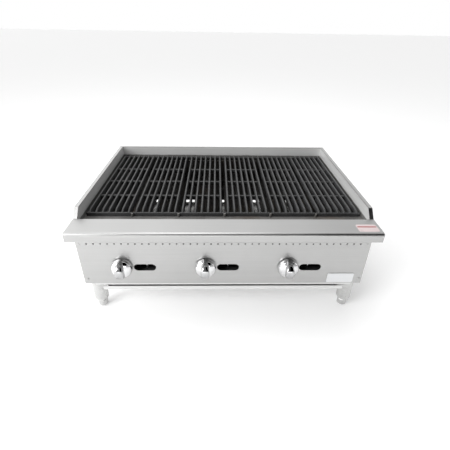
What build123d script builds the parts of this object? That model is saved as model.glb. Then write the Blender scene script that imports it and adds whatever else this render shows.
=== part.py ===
from build123d import *
from math import radians, tan
import os

# Countertop gas radiant charbroiler: a stainless body on four levelling legs, three burners under
# radiants, six cast-iron cooking grates, three control knobs and a slide-out drip tray.
# Millimetres. +X is the user's right, -Y is the front, +Z is up. The origin is on the floor under
# the middle of the object.

os.makedirs("parts", exist_ok=True)

# ---------------------------------------------------------------- driving sizes
WIDTH = 914.4              # over the two side panels
BODY_DEPTH = 687.0         # ledge nose to the outside of the rear panel
NIPPLE_OUT = 14.0          # gas nipple standing out of the rear panel
FOOT_HEIGHT = 30.0
LEG_LENGTH = 98.0
BODY_HEIGHT = 232.0        # bottom of the control panel to the top of the ledge
SPLASH_RISE = 26.0         # top of the splash above the ledge
SPLASH_WALL = 12.0         # outer skin to inner liner
LINER_CLEARANCE = 0.6      # side liner to the folded cap above it
SHEET = 1.5                # outer sheet steel
FIREBOX_SHEET = 2.0

LEDGE_DEPTH = 85.0
LEDGE_THICK = 30.0
LEDGE_OVERHANG = 58.0      # nose of the ledge ahead of the control panel
LEDGE_NOSE_RADIUS = 9.0
LEDGE_EDGE_RADIUS = 3.0

GRATE_COUNT = 6
GRATE_SIDE_GAP = 4.2       # outermost grate to the splash liner
GRATE_GAP = 1.0            # between neighbouring grates
GRATE_HEIGHT = 18.0
GRATE_DROP = 5.0           # grate tops below the ledge top
GRATE_FRONT_GAP = 56.0     # back of the ledge to the front of the grates
FLUE_GAP = 24.0            # back of the grates to the rear splash liner
BAR_PITCH = 20.6
BAR_TOP = 5.5
BAR_BASE = 11.0
BAR_NOSE_DROP = 7.0        # how far a bar slopes down at its front end
BAR_NOSE_RUN = 15.0
RIB_PITCH = 119.3
RIB_THICK = 10.0
RIB_DROP = 4.0             # cross ribs below the bar tops

RAIL_THICK = 4.0
PIN_RADIUS = 3.5
PIN_HEIGHT = 11.0
PIN_NEST = 0.8             # pins reaching in between the rounded ears

BURNER_COUNT = 3
BURNER_INLET_OUT = 10.0    # burner inlets standing out of the firebox
BURNER_EDGE = 123.3        # outermost burner's centre to the firebox side wall
BURNER_SPREAD = 61.0       # burner's centre to each of its two legs
BURNER_TUBE_RADIUS = 18.0
BURNER_WALL = 3.0
BURNER_PORT_RADIUS = 1.5
BURNER_PORT_PITCH = 24.0
FIREBOX_STEP = 50.2        # grate-level wall to the lower wall, each side
RADIANT_GAP = 12.0
RADIANT_RISE = 38.0
RADIANT_SHEET = 2.0
FIREBOX_LINER_GAP = 5.2    # splash liner to the firebox's upper wall, each side
FIREBOX_SHELF_DROP = 32.0  # step in the firebox wall below the grate rails
FIREBOX_SETBACK = 62.5     # control panel to the firebox
FIREBOX_REAR_GAP = 4.5     # firebox to the rear splash liner
RADIANT_CLEARANCE = 20.0   # burner tops to the feet of the radiants

KNOB_HEIGHT = 69.0         # knob axis above the bottom of the control panel
KNOB_SKIRT_RADIUS = 34.0
KNOB_SKIRT_DEPTH = 9.0
KNOB_DOME_DEPTH = 24.0
KNOB_DEPTH = 45.0          # panel side of the skirt to the front of the grip
KNOB_GRIP_WIDTH = 25.0
KNOB_GRIP_LENGTH = 62.0
KNOB_STANDOFF = 2.5        # panel to the back of the knob
STEM_RADIUS = 4.0
STEM_CLEARANCE = 0.05      # running fit, on the radius
STEM_HOLE_RADIUS = 7.0
BEZEL_RADIUS = 24.0
BEZEL_THICK = 1.2

PORT_LENGTH = 71.0         # pilot lighting slots
PORT_HEIGHT = 25.5
PORT_DROP = 2.4            # slot centre below the knob axis
PORT_OFFSET = 11.5         # slot centre to the right of the burner centre
VENT_RADIUS = 2.5
VENT_PITCH = 21.2
VENT_HEIGHT = 158.0        # vent row above the bottom of the control panel
VENT_MARGIN = 26.0

SCREW_RADIUS = 2.1
SCREW_HEAD_RADIUS = 5.3
SCREW_HEAD_HEIGHT = 2.6
SMALL_HEAD_RADIUS = 3.2
SMALL_HEAD_HEIGHT = 1.6
SCREW_CLEARANCE = 0.2
SCREW_INSET = 11.0         # screw to the outside of the side panel
LOW_SCREW_HEIGHT = 19.5    # above the bottom of the control panel
HIGH_SCREW_HEIGHT = 157.0

BADGE_WIDTH = 88.0
BADGE_HEIGHT = 38.0
BADGE_THICK = 1.6
BADGE_INSET = 73.0         # badge centre to the side of the panel
BADGE_RISE = 23.0          # badge centre above the bottom of the panel

LEG_RADIUS = 24.0
LEG_WALL = 2.0
LEG_PLUG = 16.0
LEG_INSET_X = 26.2         # leg axis to the outside of the side panel
LEG_INSET_Y = 42.5         # leg axis to the control panel, and to the rear panel
LEG_STUD_RADIUS = 5.0
LEG_STUD_LENGTH = 12.0
FOOT_RADIUS = 16.0
FOOT_STUD_RADIUS = 6.0
FOOT_STUD_LENGTH = 46.0
FOOT_CLEARANCE = 0.05

BASE_SHEET = 2.0
BASE_RIM = 12.0            # upright rim of the base frame
BASE_LIP = 6.0             # front lip below the control panel
BASE_LIP_INSET = 32.2
BASE_SIDE_COVER = 2.0      # base plate reaching inside the firebox walls

TRAY_SHEET = 1.2
TRAY_TOP_DROP = 16.0       # tray rim below the base frame
TRAY_DEPTH = 16.0
TRAY_FRONT_HEIGHT = 14.0
TRAY_REAR_GAP = 16.5       # tray to the outside of the rear panel
TRAY_SIDE_CLEARANCE = 3.0  # tray front to the legs
TRAY_LIP = 12.0
TRAY_LIP_CLEARANCE = 1.5
TRAY_SETBACK = 6.5         # tray front behind the control panel
RUNNER_SETBACK = 5.0       # runners behind the tray's front
RUNNER_OVERRUN = 10.0      # runners past the tray's rear
RUNNER_SIDE_GAP = 2.0

PIPE_RADIUS = 13.35        # three-quarter inch gas pipe
PIPE_WALL = 2.9
MANIFOLD_HEIGHT = 32.0     # manifold axis above the bottom of the control panel
MANIFOLD_SETBACK = 29.0    # manifold axis behind the control panel
PIPE_OFFSET = 7.0          # supply pipe outwards from the middle of the side cavity
PIPE_HOLE_CLEARANCE = 2.0
THREAD_RADIUS = 12.56      # plain end standing for the pipe's thread, at its pitch diameter
THREAD_LENGTH = 12.0

LOUVRE_SHARE = 0.62        # middle of the louvres, as a share of the body's height
LOUVRE_PITCH = 22.0
LOUVRE_COLUMNS = 5
LOUVRE_ROWS = 3
LOUVRE_LENGTH = 90.0
LOUVRE_HEIGHT = 8.0

# ---------------------------------------------------------------- levels and places
HALF = WIDTH / 2
FRONT = -(BODY_DEPTH + NIPPLE_OUT) / 2
REAR = FRONT + BODY_DEPTH
PANEL_FACE = FRONT + LEDGE_OVERHANG
PANEL_BACK = PANEL_FACE + SHEET
LEDGE_REAR = FRONT + LEDGE_DEPTH
BODY_BOTTOM = FOOT_HEIGHT + LEG_LENGTH
LEDGE_TOP = BODY_BOTTOM + BODY_HEIGHT
LEDGE_BOTTOM = LEDGE_TOP - LEDGE_THICK
SPLASH_TOP = LEDGE_TOP + SPLASH_RISE
SKIN_INSIDE = HALF - SHEET
LINER_INSIDE = HALF - SPLASH_WALL
REAR_LINER_FACE = REAR - SPLASH_WALL
GRATE_TOP = LEDGE_TOP - GRATE_DROP
GRATE_SEAT = GRATE_TOP - GRATE_HEIGHT
RAIL_BOTTOM = GRATE_SEAT - RAIL_THICK
GRATE_FRONT = LEDGE_REAR + GRATE_FRONT_GAP
GRATE_REAR = REAR_LINER_FACE - FLUE_GAP
GRATE_PITCH = 2 * (LINER_INSIDE - GRATE_SIDE_GAP) / GRATE_COUNT
GRATE_WIDTH = GRATE_PITCH - GRATE_GAP
LINER_SEAT = RAIL_BOTTOM - SHEET
FIREBOX_TOP_HALF = LINER_INSIDE - FIREBOX_LINER_GAP
FIREBOX_HALF = FIREBOX_TOP_HALF - FIREBOX_STEP
FIREBOX_SHELF = LINER_SEAT - FIREBOX_SHELF_DROP
FIREBOX_FRONT = PANEL_FACE + FIREBOX_SETBACK
FIREBOX_REAR = REAR_LINER_FACE - FIREBOX_REAR_GAP
BURNER_PITCH = FIREBOX_HALF - BURNER_EDGE
BURNER_XS = [(index - (BURNER_COUNT - 1) / 2) * BURNER_PITCH for index in range(BURNER_COUNT)]
KNOB_XS = [x - BURNER_SPREAD for x in BURNER_XS]
KNOB_Z = BODY_BOTTOM + KNOB_HEIGHT
PORT_Z = KNOB_Z - PORT_DROP
# A radiant is as wide as its burner leg's space: to the next leg of the same burner, to the next
# burner's leg, or to the firebox wall, whichever is the least.
LEG_SPACES = (2 * BURNER_SPREAD, BURNER_PITCH - 2 * BURNER_SPREAD, 2 * (BURNER_EDGE - BURNER_SPREAD))
RADIANT_WIDTH = min(LEG_SPACES) - RADIANT_GAP
RADIANT_XS = [x + side * BURNER_SPREAD for x in BURNER_XS for side in (-1, 1)]
RADIANT_SEAT = KNOB_Z + BURNER_TUBE_RADIUS + RADIANT_CLEARANCE
BASE_TOP = BODY_BOTTOM + BASE_SHEET
MANIFOLD_Y = PANEL_FACE + MANIFOLD_SETBACK
MANIFOLD_Z = BODY_BOTTOM + MANIFOLD_HEIGHT
PIPE_X = (SKIN_INSIDE + FIREBOX_HALF + FIREBOX_SHEET) / 2 + PIPE_OFFSET
LEG_X = HALF - LEG_INSET_X
LEG_YS = {"front": PANEL_FACE + LEG_INSET_Y, "rear": REAR - LEG_INSET_Y}
LEG_SPOTS = {
    f"{end}_{side}": (sign * LEG_X, y)
    for end, y in LEG_YS.items()
    for side, sign in (("left", -1), ("right", 1))
}
SIDES = (("left", -1), ("right", 1))
SCREW_X = HALF - SCREW_INSET
VALVE_BACK = FIREBOX_FRONT - BURNER_INLET_OUT
TRAY_RIM = BODY_BOTTOM - TRAY_TOP_DROP
TRAY_BOTTOM = TRAY_RIM - TRAY_DEPTH
TRAY_FRONT_HALF = LEG_X - LEG_RADIUS - TRAY_SIDE_CLEARANCE
TRAY_FRONT = PANEL_FACE + TRAY_SETBACK
RUNNER_OUTSIDE = TRAY_FRONT_HALF
RUNNER_INSIDE = RUNNER_OUTSIDE - SHEET
TRAY_LIP_HALF = RUNNER_INSIDE - TRAY_LIP_CLEARANCE
TRAY_HALF = TRAY_LIP_HALF - TRAY_LIP
RUNNER_FRONT = TRAY_FRONT + TRAY_SHEET + RUNNER_SETBACK
TRAY_REAR = REAR - TRAY_REAR_GAP
RUNNER_REAR = TRAY_REAR + RUNNER_OVERRUN


# ---------------------------------------------------------------- shared shapes
def plate(x_range, y_range, z_range, mode=Mode.ADD):
    """Put a flat rectangular block between two values on each axis into the part being made."""
    spans = [sorted(pair) for pair in (x_range, y_range, z_range)]
    with Locations(tuple(low for low, high in spans)):
        Box(*[high - low for low, high in spans], align=(Align.MIN,) * 3, mode=mode)


def bar_along(start, axis, radius, length, mode=Mode.ADD):
    """Put a round bar from a start point along an axis into the part being made."""
    with Locations(Plane(origin=start, z_dir=axis)):
        Cylinder(radius, length, align=(Align.CENTER, Align.CENTER, Align.MIN), mode=mode)


def bent_section(plane, points, radii, thickness=SHEET, side=Side.LEFT):
    """Return the cross-section of a sheet bent along a line of points."""
    with BuildSketch(plane) as section:
        with BuildLine():
            FilletPolyline(*points, radius=radii)
            offset(amount=thickness, side=side)
        make_face()
    return section.sketch


def outline(plane, points):
    """Return a flat closed outline."""
    with BuildSketch(plane) as section:
        with BuildLine():
            Polyline(*points, close=True)
        make_face()
    return section.sketch


def splash_outline(inset):
    """Return the front edge of a splash wall, upright and then sloping at 45 degrees, set inwards."""
    corner = inset * tan(radians(22.5))
    return [
        (LEDGE_REAR + inset, RAIL_BOTTOM),
        (LEDGE_REAR + inset, LEDGE_TOP - corner),
        (LEDGE_REAR + SPLASH_RISE + corner, SPLASH_TOP - inset),
    ]


# ---------------------------------------------------------------- outer panels
PANEL_FLANGE = 16.0
for side, sign in SIDES:
    with BuildPart() as side_panel:
        # Outer skin, stepped back at the top front for the ledge.
        extrude(
            outline(
                Plane.YZ.offset(sign * HALF),
                [
                    (PANEL_BACK, BODY_BOTTOM),
                    (PANEL_BACK, LEDGE_BOTTOM),
                    (LEDGE_REAR, LEDGE_BOTTOM),
                    (LEDGE_REAR, LEDGE_TOP),
                    (LEDGE_REAR + SPLASH_RISE, SPLASH_TOP),
                    (REAR, SPLASH_TOP),
                    (REAR, BODY_BOTTOM),
                ],
            ),
            amount=-sign * SHEET,
        )
        # Folded cap that covers the top and the slope of the splash wall.
        extrude(
            bent_section(
                Plane.YZ.offset(sign * HALF),
                splash_outline(0) + [(REAR, SPLASH_TOP)],
                [LEDGE_EDGE_RADIUS, LEDGE_EDGE_RADIUS],
                side=Side.RIGHT,
            ),
            amount=-sign * SPLASH_WALL,
        )
        # Front flange behind the control panel, with the screw holes.
        plate(
            (sign * SKIN_INSIDE, sign * (SKIN_INSIDE - PANEL_FLANGE)),
            (PANEL_BACK, PANEL_BACK + SHEET),
            (BASE_TOP + BASE_RIM, LEDGE_BOTTOM - SHEET),
        )
        for height in (LOW_SCREW_HEIGHT, HIGH_SCREW_HEIGHT):
            bar_along(
                (sign * SCREW_X, PANEL_FACE, BODY_BOTTOM + height),
                (0, 1, 0),
                SCREW_RADIUS + SCREW_CLEARANCE,
                4 * SHEET,
                Mode.SUBTRACT,
            )
    name = f"{side}_side_panel"
    side_panel.part.label = name
    export_step(side_panel.part, f"parts/{name}.step")

with BuildPart() as rear_panel:
    plate((-SKIN_INSIDE, SKIN_INSIDE), (REAR - SHEET, REAR), (BODY_BOTTOM, SPLASH_TOP - SHEET))
    plate((-LINER_INSIDE, LINER_INSIDE), (REAR_LINER_FACE, REAR), (SPLASH_TOP - SHEET, SPLASH_TOP))
    bar_along(
        (PIPE_X, REAR + SHEET, MANIFOLD_Z),
        (0, -1, 0),
        PIPE_RADIUS + PIPE_HOLE_CLEARANCE,
        4 * SHEET,
        Mode.SUBTRACT,
    )
    # Rows of flue and cooling louvres cut through the upper half.
    with BuildSketch(Plane.XZ.offset(-REAR)):
        with Locations((0, BODY_BOTTOM + LOUVRE_SHARE * BODY_HEIGHT)):
            with GridLocations(
                WIDTH / (LOUVRE_COLUMNS + 1), LOUVRE_PITCH, LOUVRE_COLUMNS, LOUVRE_ROWS
            ):
                SlotOverall(LOUVRE_LENGTH, LOUVRE_HEIGHT)
    extrude(amount=2 * SHEET, both=True, mode=Mode.SUBTRACT)
rear_panel.part.label = "rear_panel"
export_step(rear_panel.part, "parts/rear_panel.step")

# ---------------------------------------------------------------- splash liners
LINER_LEDGE = FIREBOX_TOP_HALF - FIREBOX_SHEET     # inner edge of the liners' bottom flanges
for side, sign in SIDES:
    with BuildPart() as liner:
        extrude(
            outline(
                Plane.YZ.offset(sign * LINER_INSIDE),
                splash_outline(SHEET + LINER_CLEARANCE) + [
                    (REAR_LINER_FACE, SPLASH_TOP - SHEET - LINER_CLEARANCE),
                    (REAR_LINER_FACE, RAIL_BOTTOM),
                ],
            ),
            amount=sign * SHEET,
        )
        plate(
            (sign * LINER_LEDGE, sign * (LINER_INSIDE + SHEET)),
            (LEDGE_REAR, REAR_LINER_FACE),
            (LINER_SEAT, RAIL_BOTTOM),
        )
    name = f"splash_liner_{side}"
    liner.part.label = name
    export_step(liner.part, f"parts/{name}.step")

with BuildPart() as splash_liner_rear:
    plate(
        (-LINER_INSIDE - SHEET, LINER_INSIDE + SHEET),
        (REAR_LINER_FACE, REAR_LINER_FACE + SHEET),
        (RAIL_BOTTOM, SPLASH_TOP - SHEET),
    )
    plate(
        (-LINER_LEDGE, LINER_LEDGE),
        (FIREBOX_REAR - FIREBOX_SHEET, REAR_LINER_FACE + SHEET),
        (LINER_SEAT, RAIL_BOTTOM),
    )
splash_liner_rear.part.label = "splash_liner_rear"
export_step(splash_liner_rear.part, "parts/splash_liner_rear.step")

# ---------------------------------------------------------------- front ledge
LEDGE_RADII = [LEDGE_EDGE_RADIUS, LEDGE_NOSE_RADIUS, LEDGE_EDGE_RADIUS]
LEDGE_PATH = [
    (PANEL_FACE, LEDGE_BOTTOM),
    (FRONT, LEDGE_BOTTOM),
    (FRONT, LEDGE_TOP),
    (LEDGE_REAR, LEDGE_TOP),
]
with BuildPart() as front_ledge:
    # One sheet: underside, nose, top and a short rear leg that stops above the grate rail.
    extrude(
        bent_section(
            Plane.YZ.offset(-HALF),
            LEDGE_PATH + [(LEDGE_REAR, GRATE_SEAT + SHEET)],
            LEDGE_RADII,
        ),
        amount=WIDTH,
    )
    # Closed ends.
    for sign in (-1, 1):
        with BuildSketch(Plane.YZ.offset(sign * HALF)):
            with BuildLine():
                FilletPolyline(
                    *LEDGE_PATH, (LEDGE_REAR, LEDGE_BOTTOM), radius=LEDGE_RADII
                )
                Line((LEDGE_REAR, LEDGE_BOTTOM), (PANEL_FACE, LEDGE_BOTTOM))
            make_face()
        extrude(amount=-sign * SHEET)
front_ledge.part.label = "front_ledge"
export_step(front_ledge.part, "parts/front_ledge.step")

# ---------------------------------------------------------------- control panel
TONGUE_CLEARANCE = 0.5
TONGUE_DROP = 10.0
TONGUE_FLANGE = 14.0
PANEL_TONGUE = SKIN_INSIDE - TONGUE_CLEARANCE     # part of the panel that stands inside the ledge
PANEL_TOP = LEDGE_TOP - TONGUE_DROP
PORT_XS = [x + PORT_OFFSET for x in BURNER_XS]
VENT_COUNT = int((WIDTH - 2 * VENT_MARGIN) / VENT_PITCH) + 1
with BuildPart() as control_panel:
    plate((-HALF, HALF), (PANEL_FACE, PANEL_BACK), (BODY_BOTTOM, LEDGE_BOTTOM))
    plate((-PANEL_TONGUE, PANEL_TONGUE), (PANEL_FACE, PANEL_BACK), (LEDGE_BOTTOM, PANEL_TOP))
    plate(
        (-PANEL_TONGUE, PANEL_TONGUE),
        (PANEL_BACK, PANEL_BACK + TONGUE_FLANGE),
        (PANEL_TOP - SHEET, PANEL_TOP),
    )
    with BuildSketch(Plane.XZ.offset(-PANEL_BACK)):
        with Locations([(x, KNOB_Z) for x in KNOB_XS]):
            Circle(STEM_HOLE_RADIUS)
        with Locations([(x, PORT_Z) for x in PORT_XS]):
            SlotOverall(PORT_LENGTH, PORT_HEIGHT)
        with Locations((0, BODY_BOTTOM + VENT_HEIGHT)):
            with GridLocations(VENT_PITCH, 1, VENT_COUNT, 1):
                Circle(VENT_RADIUS)
        with Locations(
            [
                (sign * SCREW_X, BODY_BOTTOM + height)
                for sign in (-1, 1)
                for height in (LOW_SCREW_HEIGHT, HIGH_SCREW_HEIGHT)
            ]
        ):
            Circle(SCREW_RADIUS + SCREW_CLEARANCE)
    extrude(amount=SHEET, mode=Mode.SUBTRACT)
control_panel.part.label = "control_panel"
export_step(control_panel.part, "parts/control_panel.step")

SCREW_LENGTH = 9.0
HEAD_ARC = (0.62, 0.72)     # middle of a head's profile, as shares of its radius and height
with BuildPart() as panel_screws:
    for sign in (-1, 1):
        for height, head_radius, head_height in (
            (LOW_SCREW_HEIGHT, SCREW_HEAD_RADIUS, SCREW_HEAD_HEIGHT),
            (HIGH_SCREW_HEIGHT, SMALL_HEAD_RADIUS, SMALL_HEAD_HEIGHT),
        ):
            with BuildSketch(
                Plane(
                    origin=(sign * SCREW_X, PANEL_FACE, BODY_BOTTOM + height),
                    x_dir=(1, 0, 0),
                    z_dir=(0, 0, 1),
                )
            ):
                # Half of a low domed head on its shank, turned about the screw's axis.
                with BuildLine():
                    Polyline(
                        (head_radius, 0),
                        (SCREW_RADIUS, 0),
                        (SCREW_RADIUS, SCREW_LENGTH),
                        (0, SCREW_LENGTH),
                        (0, -head_height),
                    )
                    ThreePointArc(
                        (0, -head_height),
                        (HEAD_ARC[0] * head_radius, -HEAD_ARC[1] * head_height),
                        (head_radius, 0),
                    )
                make_face()
            revolve(
                axis=Axis((sign * SCREW_X, PANEL_FACE, BODY_BOTTOM + height), (0, 1, 0))
            )
panel_screws.part.label = "panel_screws"
export_step(panel_screws.part, "parts/panel_screws.step")

BADGE_CORNER = 5.0
with BuildPart() as badge_plate:
    with BuildSketch(Plane.XZ.offset(-PANEL_FACE)):
        with Locations((HALF - BADGE_INSET, BODY_BOTTOM + BADGE_RISE)):
            RectangleRounded(BADGE_WIDTH, BADGE_HEIGHT, BADGE_CORNER)
    extrude(amount=BADGE_THICK)
    fillet(badge_plate.faces().sort_by(Axis.Y)[0].edges(), BADGE_THICK / 3)
badge_plate.part.label = "badge_plate"
export_step(badge_plate.part, "parts/badge_plate.step")

# ---------------------------------------------------------------- base frame
BASE_OPEN_X = FIREBOX_HALF - BASE_SIDE_COVER
BASE_OPEN_FRONT = FIREBOX_FRONT + FIREBOX_SHEET + BASE_SIDE_COVER
BASE_OPEN_REAR = FIREBOX_REAR - FIREBOX_SHEET - BASE_SIDE_COVER
LIP_HALF = HALF - BASE_LIP_INSET
GUSSET = 36.0
GUSSET_THICK = 3.0
STUD_HOLE_CLEARANCE = 0.5
RIM_TOP = BASE_TOP + BASE_RIM
BASE_REAR = REAR - SHEET
with BuildPart() as base_frame:
    plate((-SKIN_INSIDE, SKIN_INSIDE), (PANEL_BACK, BASE_REAR), (BODY_BOTTOM, RIM_TOP))
    plate(
        (-SKIN_INSIDE + BASE_SHEET, SKIN_INSIDE - BASE_SHEET),
        (PANEL_BACK + BASE_SHEET, BASE_REAR - BASE_SHEET),
        (BASE_TOP, RIM_TOP),
        Mode.SUBTRACT,
    )
    plate(
        (-BASE_OPEN_X, BASE_OPEN_X),
        (BASE_OPEN_FRONT, BASE_OPEN_REAR),
        (BODY_BOTTOM, BASE_TOP),
        Mode.SUBTRACT,
    )
    plate(
        (-LIP_HALF, LIP_HALF),
        (PANEL_BACK, PANEL_BACK + BASE_SHEET),
        (BODY_BOTTOM - BASE_LIP, BODY_BOTTOM),
    )
    # Doubled plate and a hole over each leg.
    for x, y in LEG_SPOTS.values():
        plate(
            (x - GUSSET / 2, x + GUSSET / 2),
            (y - GUSSET / 2, y + GUSSET / 2),
            (BASE_TOP, BASE_TOP + GUSSET_THICK),
        )
        bar_along(
            (x, y, BODY_BOTTOM),
            (0, 0, 1),
            LEG_STUD_RADIUS + STUD_HOLE_CLEARANCE,
            BASE_SHEET + GUSSET_THICK,
            Mode.SUBTRACT,
        )
base_frame.part.label = "base_frame"
export_step(base_frame.part, "parts/base_frame.step")

# ---------------------------------------------------------------- firebox
BURNER_HOLE_CLEARANCE = 1.0


def end_wall_outline(plane, top):
    """Return the stepped outline of the firebox's front or rear wall."""
    upper = FIREBOX_TOP_HALF - FIREBOX_SHEET
    shelf_top = FIREBOX_SHELF + FIREBOX_SHEET
    return outline(
        plane,
        [
            (-FIREBOX_HALF, BASE_TOP),
            (-FIREBOX_HALF, shelf_top),
            (-upper, shelf_top),
            (-upper, top),
            (upper, top),
            (upper, shelf_top),
            (FIREBOX_HALF, shelf_top),
            (FIREBOX_HALF, BASE_TOP),
        ],
    )


with BuildPart() as firebox_front:
    extrude(end_wall_outline(Plane.XZ.offset(-FIREBOX_FRONT), LINER_SEAT), amount=-FIREBOX_SHEET)
    plate(
        (-LINER_LEDGE, LINER_LEDGE),
        (FIREBOX_FRONT, FIREBOX_FRONT + FIREBOX_SHEET),
        (LINER_SEAT, RAIL_BOTTOM),
    )
    with BuildSketch(Plane.XZ.offset(-FIREBOX_FRONT)):
        with Locations([(x, KNOB_Z) for x in KNOB_XS]):
            Circle(BURNER_TUBE_RADIUS + BURNER_HOLE_CLEARANCE)
        with Locations([(x, PORT_Z) for x in PORT_XS]):
            SlotOverall(PORT_LENGTH, PORT_HEIGHT)
    extrude(amount=-FIREBOX_SHEET, mode=Mode.SUBTRACT)
firebox_front.part.label = "firebox_front"
export_step(firebox_front.part, "parts/firebox_front.step")

with BuildPart() as firebox_rear:
    extrude(end_wall_outline(Plane.XZ.offset(-FIREBOX_REAR), LINER_SEAT), amount=FIREBOX_SHEET)
firebox_rear.part.label = "firebox_rear"
export_step(firebox_rear.part, "parts/firebox_rear.step")

for side, sign in SIDES:
    inner, outer = sign * FIREBOX_HALF, sign * FIREBOX_TOP_HALF
    span = (FIREBOX_FRONT, FIREBOX_REAR)
    with BuildPart() as firebox_side:
        plate((inner, inner + sign * FIREBOX_SHEET), span, (BASE_TOP, FIREBOX_SHELF + FIREBOX_SHEET))
        plate((inner, outer), span, (FIREBOX_SHELF, FIREBOX_SHELF + FIREBOX_SHEET))
        plate((outer - sign * FIREBOX_SHEET, outer), span, (FIREBOX_SHELF, LINER_SEAT))
    name = f"firebox_{side}"
    firebox_side.part.label = name
    export_step(firebox_side.part, f"parts/{name}.step")

# ---------------------------------------------------------------- rails and rests
RAIL_LAP = 16.0
RAIL_OVERHANG = 4.0
RAIL_REAR_EDGE = GRATE_REAR + RAIL_OVERHANG
PIN_Y = GRATE_FRONT - PIN_RADIUS + PIN_NEST
with BuildPart() as front_grate_rail:
    plate(
        (-LINER_INSIDE, LINER_INSIDE),
        (LEDGE_REAR, GRATE_FRONT + RAIL_LAP),
        (RAIL_BOTTOM, GRATE_SEAT),
    )
    # Locating pins stand between the rounded ears of neighbouring grates.
    for index in range(1, GRATE_COUNT):
        x = (index - GRATE_COUNT / 2) * GRATE_PITCH
        bar_along((x, PIN_Y, GRATE_SEAT), (0, 0, 1), PIN_RADIUS, PIN_HEIGHT)
front_grate_rail.part.label = "front_grate_rail"
export_step(front_grate_rail.part, "parts/front_grate_rail.step")

with BuildPart() as rear_grate_rail:
    plate(
        (-LINER_INSIDE, LINER_INSIDE),
        (GRATE_REAR - RAIL_LAP, RAIL_REAR_EDGE),
        (RAIL_BOTTOM, GRATE_SEAT),
    )
rear_grate_rail.part.label = "rear_grate_rail"
export_step(rear_grate_rail.part, "parts/rear_grate_rail.step")

RADIANT_FRONT = FIREBOX_FRONT + FIREBOX_SHEET
RADIANT_REAR = FIREBOX_REAR - FIREBOX_SHEET
RADIANT_RAIL = 20.0
RADIANT_RAIL_THICK = 3.0
RADIANT_END_GAP = 2.0
RADIANT_FOOT = 8.0
RADIANT_RADII = [3.0, 8.0, 3.0]
with BuildPart() as radiant_rails:
    for start, end in (
        (RADIANT_FRONT, RADIANT_FRONT + RADIANT_RAIL),
        (RADIANT_REAR - RADIANT_RAIL, RADIANT_REAR),
    ):
        plate(
            (-FIREBOX_HALF, FIREBOX_HALF),
            (start, end),
            (RADIANT_SEAT - RADIANT_RAIL_THICK, RADIANT_SEAT),
        )
radiant_rails.part.label = "radiant_rails"
export_step(radiant_rails.part, "parts/radiant_rails.step")

for index, x in enumerate(RADIANT_XS, start=1):
    half = RADIANT_WIDTH / 2
    apex = RADIANT_SEAT + RADIANT_RISE
    with BuildPart() as radiant:
        # Inverted V over one burner leg, with a flat foot along each side.
        extrude(
            bent_section(
                Plane.XZ.offset(-RADIANT_REAR + RADIANT_END_GAP),
                [
                    (x - half, RADIANT_SEAT),
                    (x - half + RADIANT_FOOT, RADIANT_SEAT),
                    (x, apex),
                    (x + half - RADIANT_FOOT, RADIANT_SEAT),
                    (x + half, RADIANT_SEAT),
                ],
                RADIANT_RADII,
                RADIANT_SHEET,
            ),
            amount=RADIANT_REAR - RADIANT_FRONT - 2 * RADIANT_END_GAP,
        )
    name = f"radiant_{index}"
    radiant.part.label = name
    export_step(radiant.part, f"parts/{name}.step")

# ---------------------------------------------------------------- burners and gas train
BURNER_FRONT_GAP = 24.0
BURNER_REAR_GAP = 42.0
INLET_EASE = 0.5            # round inlet inside the square loop, on the radius
REST_INSET = 40.0
REST_THICK = 4.0
BURNER_FRONT = FIREBOX_FRONT + BURNER_FRONT_GAP
BURNER_REAR = FIREBOX_REAR - BURNER_REAR_GAP
BURNER_BORE = BURNER_TUBE_RADIUS - BURNER_WALL
LUG = 20.0
LUG_DROP = 4.0
REST_TOP = KNOB_Z - BURNER_TUBE_RADIUS - LUG_DROP
REST_YS = (BURNER_FRONT + REST_INSET, BURNER_REAR - REST_INSET)


def burner_run(centre, half, wall, mode):
    """Put the closed rectangular loop of one burner into the part, as its outside or its bore."""
    legs = (centre - BURNER_SPREAD, centre + BURNER_SPREAD)
    ends = (BURNER_FRONT + BURNER_TUBE_RADIUS, BURNER_REAR - BURNER_TUBE_RADIUS)
    heights = (KNOB_Z - half, KNOB_Z + half)
    for x in legs:
        plate((x - half, x + half), (BURNER_FRONT + wall, BURNER_REAR - wall), heights, mode)
    for y in ends:
        plate((legs[0] - half, legs[1] + half), (y - half, y + half), heights, mode)


PORT_ROW = BURNER_REAR - BURNER_FRONT - 4 * BURNER_TUBE_RADIUS
PORTS_PER_LEG = int(PORT_ROW / BURNER_PORT_PITCH) + 1
for index, centre in enumerate(BURNER_XS, start=1):
    with BuildPart() as burner:
        inlet = (centre - BURNER_SPREAD, VALVE_BACK, KNOB_Z)
        inlet_length = BURNER_FRONT - VALVE_BACK + BURNER_WALL
        burner_run(centre, BURNER_TUBE_RADIUS, 0, Mode.ADD)
        bar_along(inlet, (0, 1, 0), BURNER_TUBE_RADIUS - INLET_EASE, inlet_length)
        for side_x in (centre - BURNER_SPREAD, centre + BURNER_SPREAD):
            for y in REST_YS:
                plate(
                    (side_x - LUG / 2, side_x + LUG / 2),
                    (y - LUG / 2, y + LUG / 2),
                    (REST_TOP, KNOB_Z - BURNER_TUBE_RADIUS),
                )
        burner_run(centre, BURNER_BORE, BURNER_WALL, Mode.SUBTRACT)
        bar_along(inlet, (0, 1, 0), BURNER_BORE - INLET_EASE, inlet_length, Mode.SUBTRACT)
        with BuildSketch(Plane.XY.offset(KNOB_Z)):
            with Locations((centre, (BURNER_FRONT + BURNER_REAR) / 2)):
                with GridLocations(2 * BURNER_SPREAD, BURNER_PORT_PITCH, 2, PORTS_PER_LEG):
                    Circle(BURNER_PORT_RADIUS)
        extrude(amount=2 * BURNER_TUBE_RADIUS, mode=Mode.SUBTRACT)
    name = f"burner_{index}"
    burner.part.label = name
    export_step(burner.part, f"parts/{name}.step")

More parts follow.
